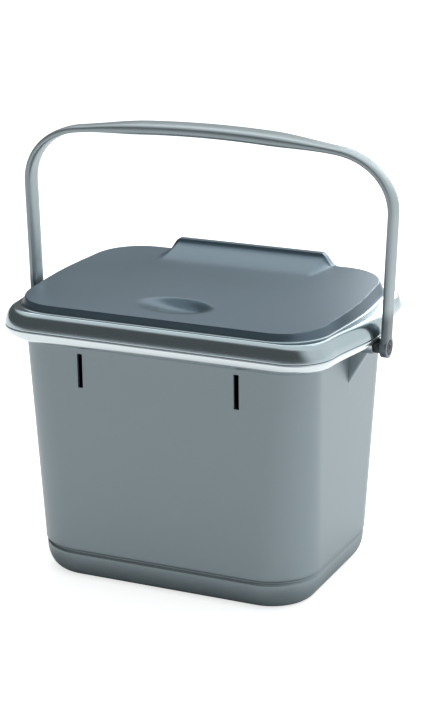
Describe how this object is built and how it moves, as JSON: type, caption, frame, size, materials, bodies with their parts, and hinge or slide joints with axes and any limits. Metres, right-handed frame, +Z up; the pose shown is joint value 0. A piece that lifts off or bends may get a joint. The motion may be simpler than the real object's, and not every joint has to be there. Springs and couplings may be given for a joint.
{
  "type": "food waste caddy",
  "caption": "Small lidded kitchen caddy for food scraps: a tapered moulded bucket, a hinged lid with a raised rear hood and a swinging carry handle.",
  "frame": {"origin": "middle of the bucket's flat base, on the surface that the caddy stands on", "axes": "+Z up, -Y out of the front wall with the two slots, +Y towards the lid's hinge, +X to the right seen from the front"},
  "size_m": [0.3094, 0.2166, 0.3514],
  "materials": {
    "bucket_plastic": "satin silver-grey moulded polypropylene, glossier at the collar",
    "lid_plastic": "satin silver-grey moulded polypropylene",
    "handle_plastic": "satin silver-grey moulded polypropylene",
    "stud_plastic": "dark grey moulded nylon",
    "pin_plastic": "satin silver-grey"
  },
  "bodies": {
    "bucket_body": {"bucket": "bucket_plastic", "hinge_pin_left": "pin_plastic", "hinge_pin_right": "pin_plastic"},
    "lid_body": {"lid": "lid_plastic"},
    "stud_body": {"pivot_stud_left": "stud_plastic", "pivot_stud_right": "stud_plastic"},
    "handle_body": {"handle": "handle_plastic"}
  },
  "joints": [
    {"name": "lid_hinge", "type": "hinge", "parent": "bucket_body", "child": "lid_body", "pos_m": [0, 0.1091, 0.2033], "axis": [-1, 0, 0], "range_deg": [0, 105]},
    {"name": "handle_carry", "type": "hinge", "parent": "bucket_body", "child": "stud_body", "pos_m": [0, 0, 0.1943], "axis": [-1, 0, 0], "range_deg": [0, 100]},
    {"name": "handle_swing", "type": "hinge", "parent": "stud_body", "child": "handle_body", "pos_m": [0, 0, 0.1943], "axis": [1, 0, 0], "range_deg": [-30, 130]}
  ],
  "couplings": [
    {"joint": "handle_carry", "follows": "lid_hinge", "ratio": 0.95}
  ]
}
